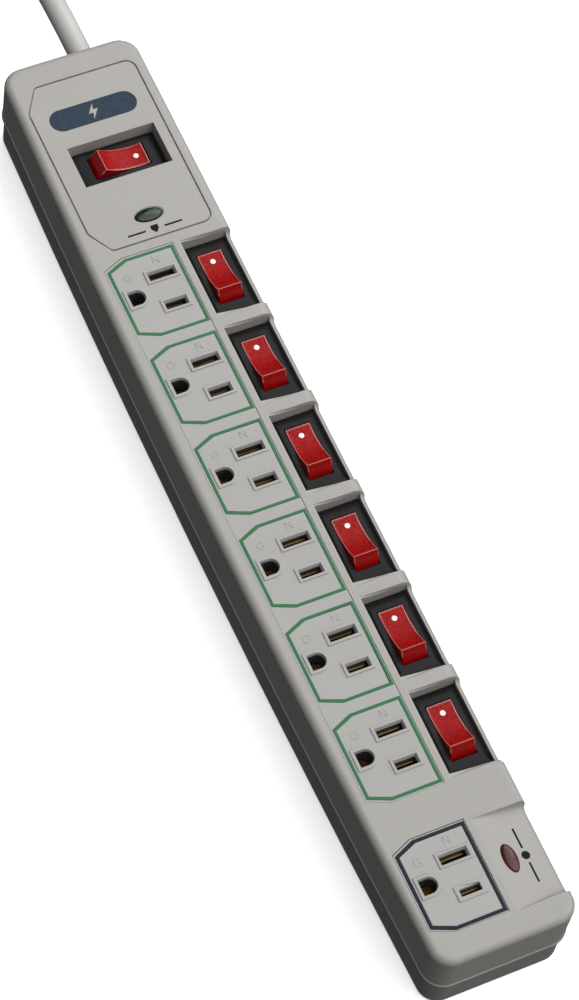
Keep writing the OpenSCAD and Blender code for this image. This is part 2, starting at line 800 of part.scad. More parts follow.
// The cord's way from the housing to the hank: straight out, down to the floor, then aside
hank_x = -352;
hank_y = -8;
hank_layers = 2;
hank_out_r = hank_r + cord_d + 0.2;
cord_points = [
    [-155.5, 13.1, 15.3], [-176, 13.1, 15.3], [-197, 13.1, 15.3], [-209, 13.1, 15.2], [-220, 13.1, 14.6],
    [-231, 13.4, 13], [-242, 14.6, 10.4], [-253, 17.4, 7.6], [-264, 21.6, 5.6],
    [-275, 26.4, 4.7], [-286, 31, 4.5], [-297, 34.8, 4.5], [-308, 36.8, 4.5], [-316, 37, 4.5]
];
cord_sides = 10;

module cord_tube() {
    color([0.80, 0.80, 0.78]) swept(cord_points, cord_r, cord_sides);
}

module stadium(r, z0, z1) {
    block([-hank_run / 2, -r, z0], [hank_run / 2, r, z1]);
    for (s = [-1, 1]) translate([s * hank_run / 2, 0, z0]) cylinder(r = r, h = z1 - z0, $fn = 96);
}

module cord_hank() {
    top = hank_layers * cord_d + 0.2;
    color([0.80, 0.80, 0.78]) translate([hank_x, hank_y, 0]) difference() {
        stadium(hank_out_r + cord_r, 0.05, top);
        stadium(hank_r - cord_r, -1, top + 1);
    }
}

strap_w = 12;
strap_t = 0.8;

// A flat strap round one run of the hank, up to the given height
module strap(x, y, top) {
    w = cord_d + 0.3 + strap_t;
    translate([x, y, 0]) difference() {
        block([-strap_w / 2, -w, 0], [strap_w / 2, w, top + strap_t]);
        block([-strap_w, -w + strap_t, 0.05], [strap_w, w - strap_t, top]);
    }
}

// Two straps: one over the cord's end on the far run, one beyond the plug's blades on the near run
module cord_ties() {
    mid_r = (hank_r + hank_out_r) / 2;
    color([0.12, 0.12, 0.13]) {
        strap(hank_x, hank_y - mid_r, 3 * cord_d + 0.3);
        strap(hank_x - 32, hank_y + mid_r, 2 * cord_d + 0.2);
    }
}

// The plug lies on the hank's run, its blades pointing away from the strip
plug_l = 34;
plug_w = 26;
plug_h = 24;
plug_neck_l = 16;
plug_x = hank_x + 34;
plug_y = hank_y + (hank_r + hank_out_r) / 2;
plug_z = hank_layers * cord_d + 0.25 + plug_h / 2;
blade_l = 17.5;
blade_h = 6.3;
blade_t = 1.5;
blade_drop = 3.4;
pin_r = 2.4;
pin_l = 20.5;

module at_plug() {
    translate([plug_x, plug_y, plug_z]) rotate([0, -90, 0]) children();
}

// The plug's body: local Z runs from the cord to the blades
module plug_body() {
    color([0.80, 0.80, 0.78]) at_plug() {
        cylinder(r = cord_r + 1.4, h = plug_neck_l + 1, $fn = fine);
        translate([0, 0, plug_neck_l]) intersection() {
            block([-plug_h / 2, -plug_w / 2, 0], [plug_h / 2, plug_w / 2, plug_l - plug_neck_l + 4]);
            cylinder(r = 15, h = 40, $fn = fine);
        }
    }
}

plug_face = plug_l + 4;

module plug_blades() {
    color([0.82, 0.78, 0.66]) at_plug() for (s = [-1, 1])
        translate([-blade_drop, s * blade_gap / 2, plug_face]) block(
            [-blade_h / 2, -blade_t / 2, 0], [blade_h / 2, blade_t / 2, blade_l]);
}

module plug_ground_pin() {
    color([0.82, 0.78, 0.66]) at_plug() translate([ground_drop - blade_drop, 0, plug_face]) {
        cylinder(r = pin_r, h = pin_l - pin_r, $fn = fine);
        translate([0, 0, pin_l - pin_r]) sphere(r = pin_r, $fn = fine);
    }
}

top_cover();
base_shell();
outlet_panel();
always_on_outlet();
switched_frames();
always_on_frame();
protected_lens();
always_on_lens();
protected_led();
always_on_led();
neutral_bus();
ground_bus();
line_bus();
switched_contacts();
always_on_contact();
contact_tray();
circuit_board();
varistors();
thermal_fuse();
line_wire();
neutral_wire();
ground_wire();
cord_clamp();
clamp_screws();
housing_screws();
rating_label();
switch_terminals();
at_master() switch_case(master_bezel_l);  // master_switch
at_switch(0) switch_case(bezel_l);  // switch_1
at_switch(1) switch_case(bezel_l);  // switch_2
at_switch(2) switch_case(bezel_l);  // switch_3
at_switch(3) switch_case(bezel_l);  // switch_4
at_switch(4) switch_case(bezel_l);  // switch_5
at_switch(5) switch_case(bezel_l);  // switch_6
at_master() rocker();  // master_rocker
at_switch(0) rocker();  // rocker_1
at_switch(1) rocker();  // rocker_2
at_switch(2) rocker();  // rocker_3
at_switch(3) rocker();  // rocker_4
at_switch(4) rocker();  // rocker_5
at_switch(5) rocker();  // rocker_6
at_master() lever();  // master_lever
at_switch(0) lever();  // lever_1
at_switch(1) lever();  // lever_2
at_switch(2) lever();  // lever_3
at_switch(3) lever();  // lever_4
at_switch(4) lever();  // lever_5
at_switch(5) lever();  // lever_6
cord_tube();
cord_hank();
cord_ties();
plug_body();
plug_blades();
plug_ground_pin();
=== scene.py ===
"""Looks for the power strip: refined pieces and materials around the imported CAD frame."""
import bpy
import bmesh
import math
from mathutils import Matrix, Vector


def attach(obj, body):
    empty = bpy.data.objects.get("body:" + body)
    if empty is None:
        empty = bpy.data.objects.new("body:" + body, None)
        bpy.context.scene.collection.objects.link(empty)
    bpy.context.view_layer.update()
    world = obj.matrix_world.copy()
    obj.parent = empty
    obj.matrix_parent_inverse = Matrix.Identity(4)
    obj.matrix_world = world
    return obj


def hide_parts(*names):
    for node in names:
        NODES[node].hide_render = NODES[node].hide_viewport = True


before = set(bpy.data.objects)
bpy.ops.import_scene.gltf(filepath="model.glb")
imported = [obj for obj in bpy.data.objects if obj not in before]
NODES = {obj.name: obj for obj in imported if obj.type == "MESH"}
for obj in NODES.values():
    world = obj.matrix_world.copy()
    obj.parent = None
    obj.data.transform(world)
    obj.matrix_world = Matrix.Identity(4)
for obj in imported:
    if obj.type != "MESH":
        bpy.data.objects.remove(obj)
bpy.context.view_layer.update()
MM = 0.001

# ---------------------------------------------------------------- sizes, in millimetres

HALF_L, HALF_W, HEIGHT, SEAM = 185.0, 27.8, 36.0, 15.3
CORNER_R, EDGE_R, SIDE_BOW = 8.0, 2.8, 3.2
PITCH, FIRST_X, LAST_X = 37.7, -79.8, 157.2
OUTLETS = [FIRST_X + PITCH * i for i in range(6)]
BLADE_Y, GROUND_Y, BLADE_HALF = -3.2, -15.1, 6.35
BAY_Y, BAY_SLOPE = 7.4, math.tan(math.radians(12.5))
SWITCH_Y, SWITCH_SHIFT, PIVOT_Z = 16.8, -0.2, 28.2
MASTER_AT = (-137.0, 2.6)
TILT = math.radians(13)
GREEN_LENS, GREEN_SIZE = (-110.3, 2.2), (5.2, 10.4)
RED_LENS, RED_SIZE = (158.0, 14.0), (10.5, 5.0)
CORD_D = 8.8
CORD_R = CORD_D / 2


def vec(x, y, z):
    return Vector((x, y, z)) * MM


# ---------------------------------------------------------------- camera

CAMERA_AT = (509.95, -347.7, 1107.7)
CAMERA_DOWN = (0.8173, -0.3154, -0.4822)
CAMERA_AHEAD = (-0.4039, 0.2832, -0.8698)
FOCAL_RATIO = 6.2964


def make_camera():
    data = bpy.data.cameras.new("camera")
    data.sensor_fit = "HORIZONTAL"
    data.sensor_width = 36
    data.lens = 36 * FOCAL_RATIO
    data.clip_end = 10
    cam = bpy.data.objects.new("camera", data)
    back = -Vector(CAMERA_AHEAD).normalized()
    right = (-Vector(CAMERA_DOWN)).cross(back).normalized()
    up = back.cross(right)
    turn = Matrix((right, up, back)).transposed().to_4x4()
    cam.matrix_world = Matrix.Translation(vec(*CAMERA_AT)) @ turn
    bpy.context.scene.collection.objects.link(cam)
    bpy.context.scene.camera = cam


# ---------------------------------------------------------------- cord

HANK_X, HANK_Y, HANK_RUN = -352.0, -8.0, 80.0
LEAD_IN = [
    (-185, 13.1, 15.3), (-197, 13.1, 15.3), (-209, 13.1, 15.2), (-220, 13.1, 14.6), (-231, 13.4, 13),
    (-242, 14.6, 10.4), (-253, 17.4, 7.6), (-264, 21.6, 5.6), (-275, 26.4, 4.7), (-286, 31, 4.5),
    (-297, 34.8, 4.5), (-308, 36.8, 4.5),
]
TRACK_IN, TRACK_OUT, TRACK_TOP = 36.0, 45.0, 40.5
LAYER_1, LAYER_2, LAYER_3, NECK_Z = 4.5, 13.35, 22.2, 29.85
RADIUS_KEYS = [(0, TRACK_OUT), (0.7, TRACK_OUT), (0.93, TRACK_IN), (2.42, TRACK_IN), (2.7, TRACK_OUT),
               (3.3, TRACK_OUT), (3.5, TRACK_TOP), (4.2, TRACK_TOP)]
HEIGHT_KEYS = [(0, LAYER_1), (1.55, LAYER_1), (1.85, LAYER_2), (3.2, LAYER_2), (3.4, LAYER_3),
               (3.8, LAYER_3), (3.99, NECK_Z), (4.2, NECK_Z)]


def along_keys(keys, t):
    for (a, va), (b, vb) in zip(keys, keys[1:]):
        if t <= b:
            f = (t - a) / (b - a)
            return va + (vb - va) * f * f * (3 - 2 * f)
    return keys[-1][1]


def hank_point(t):
    """The cord's middle after t turns of the hank, counted from the start of the +Y run."""
    r, z, f = along_keys(RADIUS_KEYS, t), along_keys(HEIGHT_KEYS, t), t % 1
    half = HANK_RUN / 2
    if f < 0.2:
        return (HANK_X + half - HANK_RUN * f / 0.2, HANK_Y + r, z)
    if f < 0.5:
        a = math.pi * (0.5 + (f - 0.2) / 0.3)
        return (HANK_X - half + r * math.cos(a), HANK_Y + r * math.sin(a), z)
    if f < 0.7:
        return (HANK_X - half + HANK_RUN * (f - 0.5) / 0.2, HANK_Y - r, z)
    a = math.pi * (-0.5 + (f - 0.7) / 0.3)
    return (HANK_X + half + r * math.cos(a), HANK_Y + r * math.sin(a), z)


def make_cord():
    steps = 30
    route = list(LEAD_IN) + [hank_point(i / steps) for i in range(1, 4 * steps + 1)]
    route.append((-321, HANK_Y + TRACK_TOP, NECK_Z))
    data = bpy.data.curves.new("cord", "CURVE")
    data.dimensions = "3D"
    data.bevel_depth = CORD_R * MM
    data.bevel_resolution = 8
    data.use_fill_caps = True
    data.resolution_u = 6
    line = data.splines.new("BEZIER")
    line.bezier_points.add(len(route) - 1)
    pts = [vec(*p) for p in route]
    for i, (bp, p) in enumerate(zip(line.bezier_points, pts)):
        before, after = pts[max(i - 1, 0)], pts[min(i + 1, len(pts) - 1)]
        tangent = (after - before).normalized()
        bp.co = p
        bp.handle_left_type = bp.handle_right_type = "FREE"
        bp.handle_left = p - tangent * (p - before).length / 3
        bp.handle_right = p + tangent * (after - p).length / 3
    cord = bpy.data.objects.new("cord", data)
    bpy.context.scene.collection.objects.link(cord)
    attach(cord, "housing")
    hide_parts("cord_tube", "cord_hank")
    return cord


make_camera()
cord = make_cord()

# ---------------------------------------------------------------- materials


class Nodes:
    """A material's node tree, with short calls for the nodes used here."""

    def __init__(self, name):
        self.material = bpy.data.materials.new(name)
        self.material.use_nodes = True
        self.tree = self.material.node_tree
        self.shader = self.tree.nodes["Principled BSDF"]
        self.coords = self.tree.nodes.new("ShaderNodeTexCoord").outputs["Object"]

    def link(self, a, b):
        self.tree.links.new(a, b)

    def noise(self, scale, detail=3, rough=0.5, stretch=None):
        n = self.tree.nodes.new("ShaderNodeTexNoise")
        n.inputs["Scale"].default_value = scale
        n.inputs["Detail"].default_value = detail
        n.inputs["Roughness"].default_value = rough
        source = self.coords
        if stretch:
            mapping = self.tree.nodes.new("ShaderNodeMapping")
            mapping.inputs["Scale"].default_value = stretch
            self.link(self.coords, mapping.inputs["Vector"])
            source = mapping.outputs["Vector"]
        self.link(source, n.inputs["Vector"])
        return n.outputs["Fac"]

    def spread(self, value, low, high, start=0.3, end=0.7):
        n = self.tree.nodes.new("ShaderNodeMapRange")
        n.inputs["From Min"].default_value = start
        n.inputs["From Max"].default_value = end
        n.inputs["To Min"].default_value = low
        n.inputs["To Max"].default_value = high
        self.link(value, n.inputs["Value"])
        return n.outputs["Result"]

    def mix(self, factor, a, b):
        n = self.tree.nodes.new("ShaderNodeMix")
        n.data_type = "RGBA"
        self.link(factor, n.inputs["Factor"])
        for colour, socket in ((a, n.inputs["A"]), (b, n.inputs["B"])):
            if isinstance(colour, tuple):
                socket.default_value = (*colour, 1)
            else:
                self.link(colour, socket)
        return n.outputs["Result"]

    def edges(self, low=0.5, high=0.56):
        n = self.tree.nodes.new("ShaderNodeNewGeometry")
        return self.spread(n.outputs["Pointiness"], 0, 1, low, high)

    def bump(self, height, strength, distance):
        n = self.tree.nodes.new("ShaderNodeBump")
        n.inputs["Strength"].default_value = strength
        n.inputs["Distance"].default_value = distance
        self.link(height, n.inputs["Height"])
        self.link(n.outputs["Normal"], self.shader.inputs["Normal"])


def shades(colour, amount):
    return tuple(c * (1 - amount) for c in colour), tuple(min(c * (1 + amount), 1) for c in colour)


def plastic(name, colour, rough=0.42, grain=2600, depth=0.00003, strength=0.35, vary=0.012, edge_pale=0.06,
            shine=0.35):
    """Moulded plastic: fine spark-eroded grain, faint mottling, and edges slightly paler."""
    m = Nodes(name)
    dark, pale = shades(colour, vary)
    body = m.mix(m.spread(m.noise(45, 4), 0, 1), dark, pale)
    m.shader.inputs["Specular IOR Level"].default_value = shine
    edge_paled = m.mix(m.spread(m.edges(), 0, edge_pale, 0, 1), body, tuple(min(1, c * 1.25 + 0.05) for c in colour))
    m.link(edge_paled, m.shader.inputs["Base Color"])
    m.link(m.spread(m.noise(220, 5), rough - 0.06, rough + 0.06), m.shader.inputs["Roughness"])
    m.bump(m.noise(grain, 2, 0.6), strength, depth)
    return m.material


def clear_red(name, colour, grain, strength, rough, shine, coat, vary):
    """The rockers' translucent red: light passes a little way into it."""
    m = Nodes(name)
    dark, pale = shades(colour, vary)
    cloudy = m.spread(m.noise(1300, 3, 0.7), 0, 1, 0.35, 0.65)
    m.link(m.mix(cloudy, dark, pale), m.shader.inputs["Base Color"])
    m.shader.inputs["Subsurface Weight"].default_value = 0.12
    m.shader.inputs["Subsurface Radius"].default_value = (1.0, 0.12, 0.1)
    m.shader.inputs["Subsurface Scale"].default_value = 0.002
    m.shader.inputs["Specular IOR Level"].default_value = shine
    m.shader.inputs["Coat Weight"].default_value = coat
    m.shader.inputs["Coat Roughness"].default_value = 0.08
    m.link(m.spread(m.noise(300, 4), rough - 0.05, rough + 0.07), m.shader.inputs["Roughness"])
    m.bump(m.noise(grain, 3, 0.65), strength, 0.00006)
    return m.material


def lens_plastic(name, deep, shallow):
    """A tinted lens: its tint varies at random between a deeper and a paler colour, with a faint moulded
    pattern.
    """
    m = Nodes(name)
    m.link(m.mix(m.spread(m.noise(700, 4), 0, 1), deep, shallow), m.shader.inputs["Base Color"])
    m.shader.inputs["Specular IOR Level"].default_value = 0.2
    m.shader.inputs["Coat Weight"].default_value = 0.5
    m.shader.inputs["Coat Roughness"].default_value = 0.03
    m.link(m.spread(m.noise(400, 3), 0.12, 0.3), m.shader.inputs["Roughness"])
    m.bump(m.noise(1500, 3), 0.25, 0.00006)
    return m.material


def metal(name, colour, rough, grain=(60, 60, 2400), tarnish=0.25):
    """Stamped metal: fine drawn lines and patches of tarnish."""
    m = Nodes(name)
    dull = tuple(c * (1 - tarnish) for c in colour)
    m.link(m.mix(m.spread(m.noise(160, 5, 0.6), 0, 1), dull, colour), m.shader.inputs["Base Color"])
    m.shader.inputs["Metallic"].default_value = 1.0
    lines = m.noise(1, 3, 0.6, grain)
    m.link(m.spread(lines, rough - 0.08, rough + 0.1), m.shader.inputs["Roughness"])
    m.bump(lines, 0.2, 0.00002)
    return m.material


def rubber(name, colour, rough=0.5):
    """Flexible PVC: smooth, slightly uneven, with faint mottling and handling marks."""
    m = Nodes(name)
    dark, pale = shades(colour, 0.04)
    m.link(m.mix(m.spread(m.noise(60, 5, 0.6), 0, 1), dark, pale), m.shader.inputs["Base Color"])
    m.link(m.spread(m.noise(150, 4), rough - 0.08, rough + 0.08), m.shader.inputs["Roughness"])
    m.bump(m.noise(1400, 3), 0.25, 0.00004)
    return m.material


def webbing(name, colour):
    """Hook-and-loop strap: a dense fuzzy pile."""
    m = Nodes(name)
    dark, pale = shades(colour, 0.5)
    m.link(m.mix(m.spread(m.noise(3200, 4, 0.7), 0, 1), dark, pale), m.shader.inputs["Base Color"])
    m.shader.inputs["Sheen Weight"].default_value = 0.4
    m.link(m.spread(m.noise(500, 3), 0.8, 0.95), m.shader.inputs["Roughness"])
    m.bump(m.noise(2600, 4, 0.7), 0.8, 0.0002)
    return m.material


def ink(name, colour):
    """Pad-printed ink with slightly uneven cover."""
    m = Nodes(name)
    m.shader.inputs["Specular IOR Level"].default_value = 0.12
    dark, pale = shades(colour, 0.15)
    m.link(m.mix(m.spread(m.noise(900, 5), 0, 1), dark, pale), m.shader.inputs["Base Color"])
    m.link(m.spread(m.noise(300, 3), 0.4, 0.55), m.shader.inputs["Roughness"])
    m.bump(m.noise(2600, 2), 0.25, 0.00002)
    return m.material


GREY = (0.345, 0.333, 0.314)
MATS = {
    "cover": plastic("cover_plastic", GREY, 0.40),
    # The base's darker grey is painted shade: the same grey plastic as the cover, darkened where its sides
    # turn down away from the light.
    "base": plastic("base_plastic", (0.25, 0.242, 0.23), 0.45),
    "insert": plastic("insert_plastic", (0.35, 0.345, 0.33), 0.36, 3200, 0.00002, 0.2),
    "black": plastic("bezel_plastic", (0.010, 0.009, 0.010), 0.42, 3000, 0.00003, 0.45, 0.12, 0.03, 0.16),
    "tray_and_painted_shade": plastic("tray_plastic", (0.03, 0.03, 0.032), 0.5),
    "red": clear_red("rocker_red", (0.30, 0.003, 0.003), 1500, 0.9, 0.34, 0.12, 0.0, 0.45),
    "red_rim": clear_red("rocker_rim", (0.27, 0.002, 0.002), 700, 0.12, 0.14, 0.3, 0.1, 0.15),
    # The paler pink for the rockers' bevelled edges is a painted highlight, where the edges catch the light.
    "red_painted_highlight": clear_red("rocker_edge", (0.50, 0.14, 0.12), 700, 0.12, 0.1, 0.5, 0.4, 0.1),
    "dot": plastic("dot_white", (0.88, 0.87, 0.85), 0.45, 2600, 0.00002, 0.2, 0.03, 0.0),
    "green": plastic("frame_green", (0.006, 0.130, 0.036), 0.38, 2600, 0.00002, 0.25, 0.06, 0.05),
    "blue": plastic("frame_blue", (0.008, 0.013, 0.026), 0.42, 2600, 0.00002, 0.25, 0.08, 0.03, 0.15),
    "green_lens": lens_plastic("lens_green", (0.001, 0.005, 0.003), (0.006, 0.030, 0.016)),
    "red_lens": lens_plastic("lens_red", (0.034, 0.005, 0.004), (0.085, 0.016, 0.012)),
    "lamp": lens_plastic("lamp_clear", (0.5, 0.6, 0.5), (0.7, 0.8, 0.7)),
    "brass": metal("contact_brass", (0.50, 0.33, 0.14), 0.36),
    "copper": metal("lever_copper", (0.70, 0.40, 0.22), 0.3),
    "steel": metal("screw_steel", (0.55, 0.55, 0.56), 0.3),
    "plate": metal("blade_plate", (0.74, 0.66, 0.46), 0.24, (2400, 60, 60), 0.12),
    "cord": rubber("cord_sheath", (0.50, 0.49, 0.47), 0.45),
    "wire_black": rubber("wire_black", (0.02, 0.02, 0.02)),
    "wire_white": rubber("wire_white", (0.75, 0.75, 0.73)),
    "wire_green": rubber("wire_green", (0.02, 0.17, 0.045)),
    "tie": webbing("strap_black", (0.022, 0.022, 0.024)),
    "board": plastic("board_green", (0.015, 0.10, 0.04), 0.3),
    "varistor": plastic("varistor_blue", (0.02, 0.07, 0.24), 0.25),
    "label": plastic("label_blank", (0.66, 0.66, 0.65), 0.5, 900, 0.00001, 0.1),
    "slate": ink("ink_slate", (0.026, 0.044, 0.066)),
    "ink": ink("ink_black", (0.004, 0.004, 0.004)),
}

# ---------------------------------------------------------------- mesh helpers


def new_object(name, bm, *materials):
    bmesh.ops.recalc_face_normals(bm, faces=bm.faces)
    me = bpy.data.meshes.new(name)
    bm.to_mesh(me)
    bm.free()
    obj = bpy.data.objects.new(name, me)
    bpy.context.scene.collection.objects.link(obj)
    for m in materials:
        me.materials.append(MATS[m])
    return obj


def prism(bm, outline, z0, z1):
    """Adds an extruded outline in millimetres."""
    low = [bm.verts.new(vec(x, y, z0)) for x, y in outline]
    high = [bm.verts.new(vec(x, y, z1)) for x, y in outline]
    n = len(outline)
    for i in range(n):
        bm.faces.new((low[i], low[(i + 1) % n], high[(i + 1) % n], high[i]))
    bm.faces.new(low[::-1])
    bm.faces.new(high)


def loft(bm, rings, caps=True):
    """Adds a skin through rings of points in millimetres, with a cap at each end."""
    rows = [[bm.verts.new(vec(*p)) for p in ring] for ring in rings]
    n = len(rows[0])
    for a, b in zip(rows, rows[1:]):
        for i in range(n):
            bm.faces.new((a[i], a[(i + 1) % n], b[(i + 1) % n], b[i]))
    if caps:
        bm.faces.new(rows[0][::-1])
        bm.faces.new(rows[-1])


def box(bm, x0, x1, y0, y1, z0, z1):
    prism(bm, [(x0, y0), (x1, y0), (x1, y1), (x0, y1)], z0, z1)


def cut(obj, bm):
    """Takes the shape in bm away from obj."""
    tool = new_object("cutter", bm)
    mod = obj.modifiers.new("cut", "BOOLEAN")
    mod.operation = "DIFFERENCE"
    mod.solver = "EXACT"
    mod.object = tool
    apply_modifiers(obj)
    bpy.data.objects.remove(tool)


def apply_modifiers(obj):
    bpy.context.view_layer.update()
    evaluated = obj.evaluated_get(bpy.context.evaluated_depsgraph_get())
    me = bpy.data.meshes.new_from_object(evaluated)
    old = obj.data
    obj.modifiers.clear()
    obj.data = me
    bpy.data.meshes.remove(old)


def clean(obj, angle=0.6):
    bm = bmesh.new()
    bm.from_mesh(obj.data)
    bmesh.ops.remove_doubles(bm, verts=bm.verts, dist=2e-6)
    bmesh.ops.dissolve_limit(bm, angle_limit=math.radians(angle), verts=bm.verts, edges=bm.edges)
    bm.to_mesh(obj.data)
    bm.free()


def round_edges(obj, width, segments=2, angle=35):
    mod = obj.modifiers.new("round", "BEVEL")
    mod.width = width * MM
    mod.segments = segments
    mod.limit_method = "ANGLE"
    mod.angle_limit = math.radians(angle)
    mod.use_clamp_overlap = True
    mod.miter_outer = "MITER_ARC"
    mod.harden_normals = False
    apply_modifiers(obj)


def smooth(obj, angle=32):
    """Shades smooth but keeps edges sharper than the angle."""
    bm = bmesh.new()
    bm.from_mesh(obj.data)
    limit = math.radians(angle)
    for f in bm.faces:
        f.smooth = True
    for e in bm.edges:
        e.smooth = len(e.link_faces) == 2 and e.calc_face_angle(0) < limit
    bm.to_mesh(obj.data)
    bm.free()
    mod = obj.modifiers.new("flat_faces", "WEIGHTED_NORMAL")
    mod.mode = "FACE_AREA"
    mod.weight = 100
    mod.keep_sharp = True


def settle(obj, body, slot, *nodes):
    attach(obj, body)
    if nodes:
        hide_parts(*nodes)
    return obj


def copy_node(node, material, name=None):
    """A new piece with a CAD node's shape, its flat faces whole again."""
    obj = bpy.data.objects.new(name or "fine_" + node, NODES[node].data.copy())
    bpy.context.scene.collection.objects.link(obj)
    obj.data.materials.clear()
    obj.data.materials.append(MATS[material])
    for p in obj.data.polygons:
        p.material_index = 0
    clean(obj)
    return obj


def refine(node, material, slot, width=0.2, segments=2, body="housing"):
    """Stands a copy with rounded edges in place of a CAD node."""
    obj = copy_node(node, material)
    round_edges(obj, width, segments)
    smooth(obj)
    return settle(obj, body, slot, node)


# ---------------------------------------------------------------- outlines


def side_y(x, inset):
    return -HALF_W + inset + SIDE_BOW * (x / HALF_L) ** 2


def arc(cx, cy, r, a0, a1, n):
    return [(cx + r * math.cos(math.radians(a0 + (a1 - a0) * i / n)),
             cy + r * math.sin(math.radians(a0 + (a1 - a0) * i / n))) for i in range(n + 1)]


def plan(inset, corners=10, steps=16):
    r = max(CORNER_R - inset, 1)
    x = HALF_L - inset - r
    y1, y0 = HALF_W - inset - r, side_y(x, inset) + r
    low = [(-x + 2 * x * i / steps, side_y(-x + 2 * x * i / steps, inset)) for i in range(1, steps)]
    return (arc(x, y1, r, 0, 90, corners) + arc(-x, y1, r, 90, 180, corners)
            + arc(-x, y0, r, 180, 270, corners) + low + arc(x, y0, r, 270, 360, corners))


def cut_box(x0, x1, y0, y1, cx, cy):
    return [(x0, y1), (x0, y0 + cy), (x0 + cx, y0), (x1 - cx, y0), (x1, y0 + cy), (x1, y1)]


def oval(at, size, grow=0.0, n=48):
    return [(at[0] + (size[0] / 2 + grow) * math.cos(2 * math.pi * i / n),
             at[1] + (size[1] / 2 + grow) * math.sin(2 * math.pi * i / n)) for i in range(n)]


def insert_outline(x0, x1, inset):
    return cut_box(x0 - 16.9 + inset, x1 + 17.5 - inset, -21.7 + inset, 5.3 - inset, 3.2, 7.6)


HEAD = (-174.3, -100.3, -21.5, 23.4)


def head_outline(inset):
    x0, x1, y0, y1 = HEAD
    return (arc(x1 - 4, y1 - 4, 4 - inset, 0, 90, 8) + arc(x0 + 4, y1 - 4, 4 - inset, 90, 180, 8)
            + [(x0 + inset, y0 + 7.2), (x0 + 0.6 + inset, y0 + 6.2), (x0 + 9.6, y0 + 0.5 + inset),
               (x0 + 11, y0 + inset), (x1 - 10, y0 + inset), (x1 - 8.8, y0 + 0.5 + inset),
               (x1 - 0.6 - inset, y0 + 5.6), (x1 - inset, y0 + 6.6)])


# ---------------------------------------------------------------- cover

BAYS = [(x - 16.5, x + 17.2) for x in OUTLETS] + [(LAST_X - 16.0, LAST_X + 18.7)]
LIP_H, LIP_OUT = 1.1, 0.3
DECK_EDGE_R = 2.2
RIDGE_R = 4.6


def cover_rings():
    rings = [[(x, y, SEAM) for x, y in plan(0.25)], [(x, y, SEAM + 0.25) for x, y in plan(0)],
             [(x, y, SEAM + LIP_H) for x, y in plan(0)],
             [(x, y, SEAM + LIP_H + 0.3) for x, y in plan(LIP_OUT)]]
    for i in range(9):
        a = math.radians(90 * i / 8)
        inset = LIP_OUT + EDGE_R * (1 - math.cos(a))
        rings.append([(x, y, HEIGHT - EDGE_R + EDGE_R * math.sin(a)) for x, y in plan(inset)])
    return rings


def deck_z(y):
    z = HEIGHT - max(y - BAY_Y, 0) * BAY_SLOPE
    over = y - (HALF_W - LIP_OUT - DECK_EDGE_R)
    if over > 0:
        over = min(over, DECK_EDGE_R)
        z -= DECK_EDGE_R - math.sqrt(DECK_EDGE_R ** 2 - over ** 2)
    return z


def bay_section(x0, x1, y):
    """A bay's section across the strip: leaning walls that sweep into the deck."""
    depth = HEIGHT - deck_z(y)
    r = min(2.4, depth * 0.8)
    lean = math.tan(math.radians(9))
    z = deck_z(y)
    left, right = x0 + depth * lean, x1 - depth * lean
    up = 3.0
    pts = [(x0 - up * lean, y, HEIGHT + up)]
    pts += [(left + r - r * math.cos(math.radians(a)), y, z + r - r * math.sin(math.radians(a)))
            for a in (0, 22, 45, 67, 90)]
    pts += [(right - r + r * math.sin(math.radians(a)), y, z + r - r * math.cos(math.radians(a)))
            for a in (0, 22, 45, 67, 90)]
    pts.append((x1 + up * lean, y, HEIGHT + up))
    return pts


def bay_cutter():
    bm = bmesh.new()
    ys = [BAY_Y + 0.15, 8.5, 10, 12, 15, 18, 21, 24, 25.4, 25.9, 26.4, 26.8, 27.1, 27.35, 27.49, 29]
    for x0, x1 in BAYS:
        loft(bm, [bay_section(x0, x1, y) for y in ys])
    return bm


def ridge_cutter():
    """Takes the outer ends of the ridges down to a larger round."""
    bm = bmesh.new()
    cy, cz = HALF_W - LIP_OUT - RIDGE_R, HEIGHT - RIDGE_R
    curve = [(cy + RIDGE_R * math.sin(math.radians(a)), cz + RIDGE_R * math.cos(math.radians(a)))
             for a in range(0, 91, 9)]
    outline = curve + [(HALF_W + 2, cz), (HALF_W + 2, HEIGHT + 2), (cy, HEIGHT + 2)]
    for x0, x1 in ((BAYS[0][0] + 4, BAYS[5][1] + 0.5),):
        loft(bm, [[(x, y, z) for y, z in outline] for x in (x0, x1)])
    return bm


def pocket_cutter():
    bm = bmesh.new()
    for x in OUTLETS:
        c = x + SWITCH_SHIFT
        box(bm, c - 15.65, c + 15.65, SWITCH_Y - 8.75, SWITCH_Y + 8.75, PIVOT_Z + 1.2, HEIGHT + 3)
    mx, my = MASTER_AT
    box(bm, mx - 8.75, mx + 8.75, my - 16.65, my + 16.65, PIVOT_Z + 1.2, HEIGHT + 3)
    return bm


def case_cutter():
    bm = bmesh.new()
    for x in OUTLETS:
        c = x + SWITCH_SHIFT
        box(bm, c - 12.65, c + 12.65, SWITCH_Y - 6.85, SWITCH_Y + 6.85, 20, PIVOT_Z + 2)
    mx, my = MASTER_AT
    box(bm, mx - 6.85, mx + 6.85, my - 12.65, my + 12.65, 20, PIVOT_Z + 2)
    return bm


def opening_cutter():
    bm = bmesh.new()
    for x0, x1 in ((OUTLETS[0], OUTLETS[5]), (LAST_X, LAST_X)):
        prism(bm, insert_outline(x0, x1, -0.15), HEIGHT - 1.6, HEIGHT + 2)
    return bm


def through_cutter():
    bm = bmesh.new()
    for x0, x1 in ((OUTLETS[0], OUTLETS[5]), (LAST_X, LAST_X)):
        prism(bm, insert_outline(x0, x1, 1.4), 20, HEIGHT - 1)
    return bm


def cavity_cutter():
    bm = bmesh.new()
    prism(bm, plan(3.0), SEAM - 2, PIVOT_Z - 2)
    return bm


